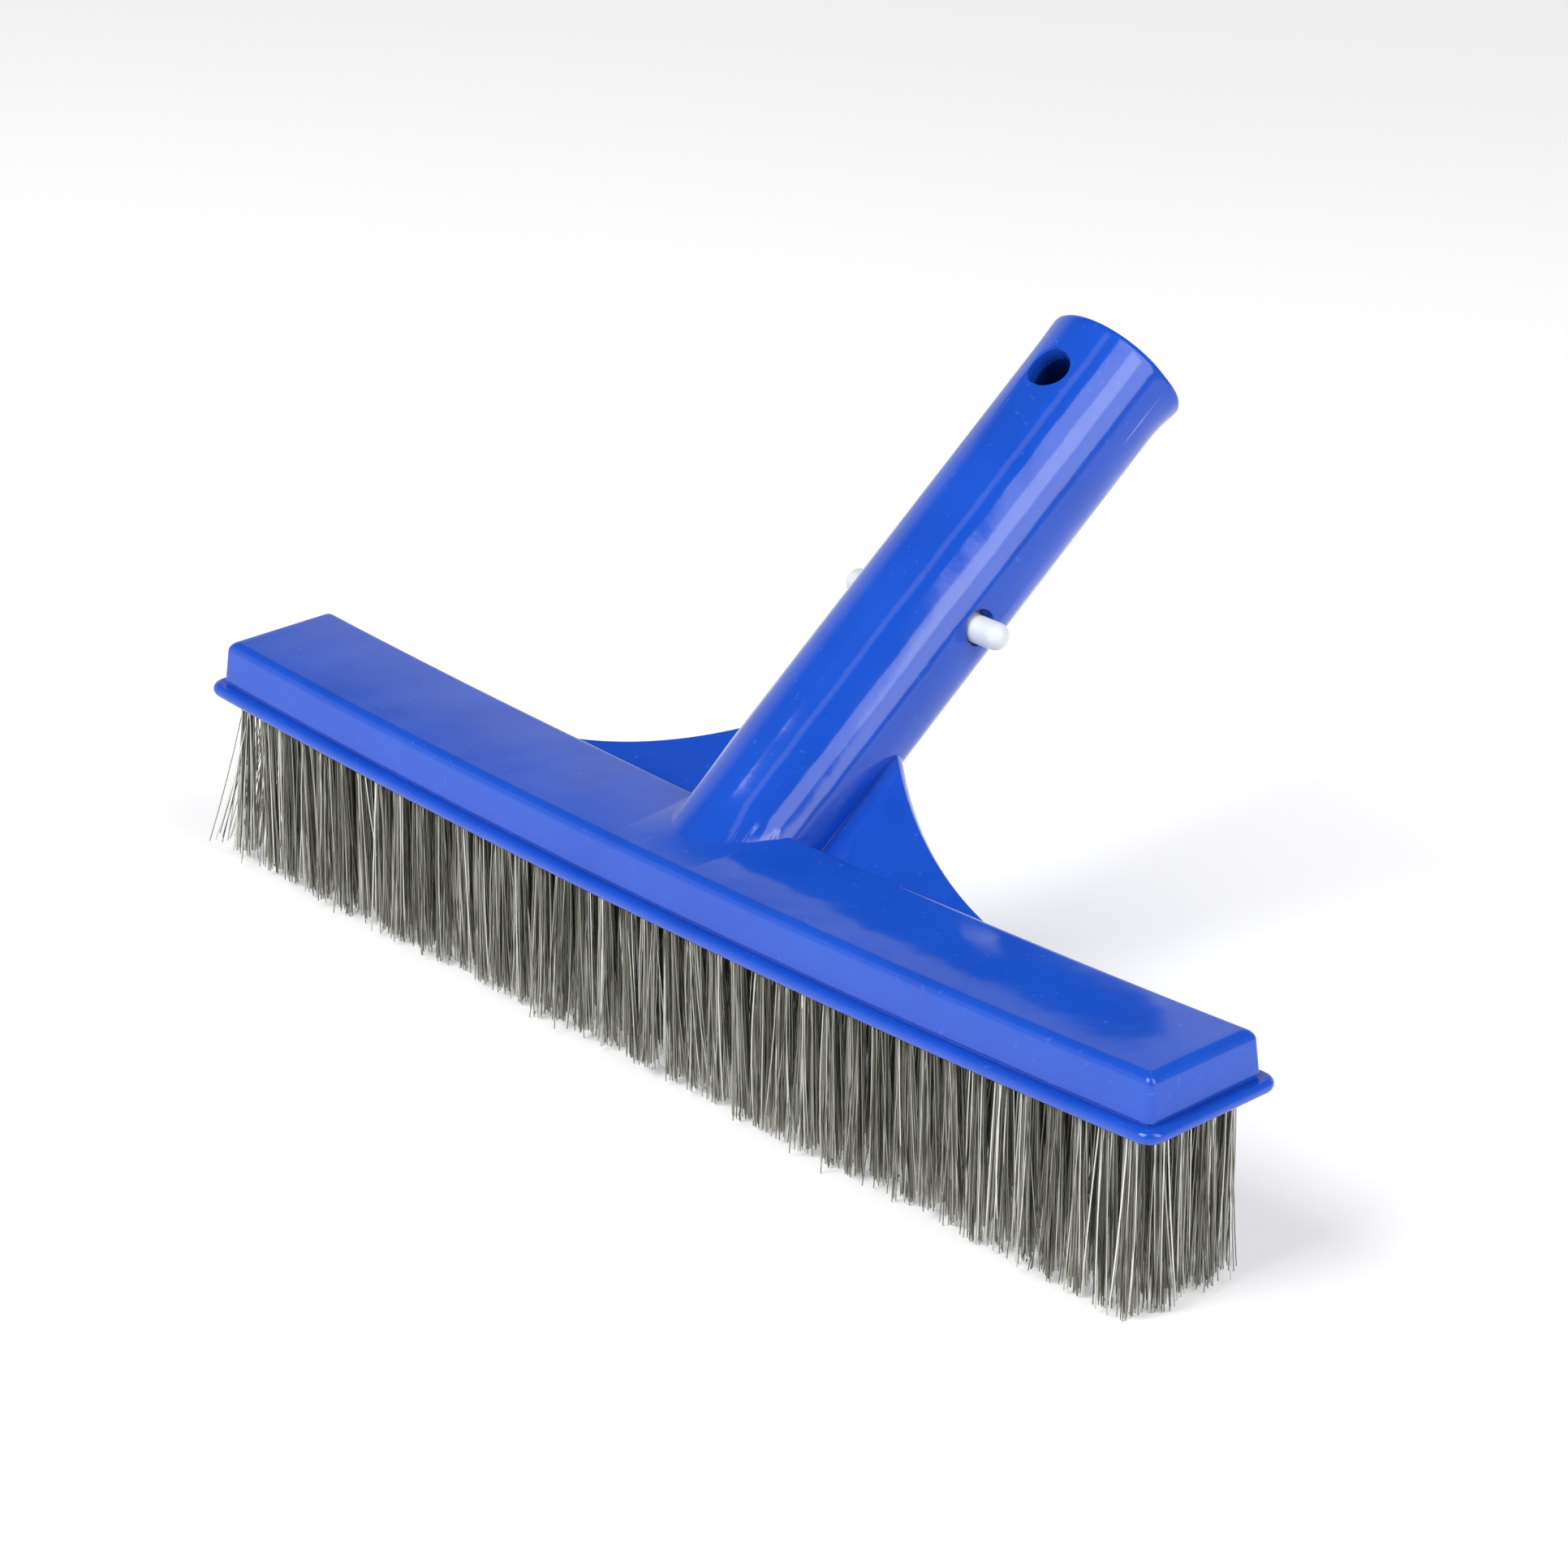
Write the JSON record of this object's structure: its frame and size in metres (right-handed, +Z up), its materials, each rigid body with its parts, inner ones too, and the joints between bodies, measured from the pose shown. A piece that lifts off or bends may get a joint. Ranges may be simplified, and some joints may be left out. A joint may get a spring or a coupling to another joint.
{
  "type": "pool wall brush",
  "caption": "Curved wall brush head with dense steel wire tufts and a leaning tubular pole socket with a sprung pin clip.",
  "frame": {"origin": "under the middle of the whole brush, level with the wire tips", "axes": "+X along the head, +Z up away from the wires, +Y towards the open end of the leaning socket"},
  "size_m": [0.254, 0.1302, 0.1198],
  "materials": {
    "body_plastic": "gloss",
    "clip_plastic": "satin",
    "wire": "drawn wire"
  },
  "bodies": {
    "brush": {"brush_body": "body_plastic", "clip_bow": "clip_plastic", "tuft_column_01": "wire", "tuft_column_02": "wire", "tuft_column_03": "wire", "tuft_column_04": "wire", "tuft_column_05": "wire", "tuft_column_06": "wire", "tuft_column_07": "wire", "tuft_column_08": "wire", "tuft_column_09": "wire", "tuft_column_10": "wire", "tuft_column_11": "wire", "tuft_column_12": "wire", "tuft_column_13": "wire", "tuft_column_14": "wire", "tuft_column_15": "wire", "tuft_column_16": "wire", "tuft_column_17": "wire", "tuft_column_18": "wire", "tuft_column_19": "wire", "tuft_column_20": "wire", "tuft_column_21": "wire", "tuft_column_22": "wire", "tuft_column_23": "wire", "tuft_column_24": "wire", "tuft_column_25": "wire", "tuft_column_26": "wire", "tuft_column_27": "wire", "tuft_column_28": "wire", "tuft_column_29": "wire", "tuft_column_30": "wire", "tuft_column_31": "wire", "tuft_column_32": "wire", "tuft_column_33": "wire", "tuft_column_34": "wire", "tuft_column_35": "wire", "tuft_column_36": "wire", "tuft_column_37": "wire", "tuft_column_38": "wire", "tuft_column_39": "wire", "tuft_column_40": "wire", "tuft_column_41": "wire"},
    "left_arm": {"clip_arm_left": "clip_plastic"},
    "right_arm": {"clip_arm_right": "clip_plastic"}
  },
  "joints": [
    {"name": "left_pin_press", "type": "hinge", "parent": "brush", "child": "left_arm", "pos_m": [-0.0091, -0.01953, 0.05146], "axis": [0, 0.6, -0.8], "range_deg": [0, 11], "stiffness_Nm_per_rad": 0.6},
    {"name": "right_pin_press", "type": "hinge", "parent": "brush", "child": "right_arm", "pos_m": [0.0091, -0.01953, 0.05146], "axis": [0, -0.6, 0.8], "range_deg": [0, 11], "stiffness_Nm_per_rad": 0.6}
  ]
}
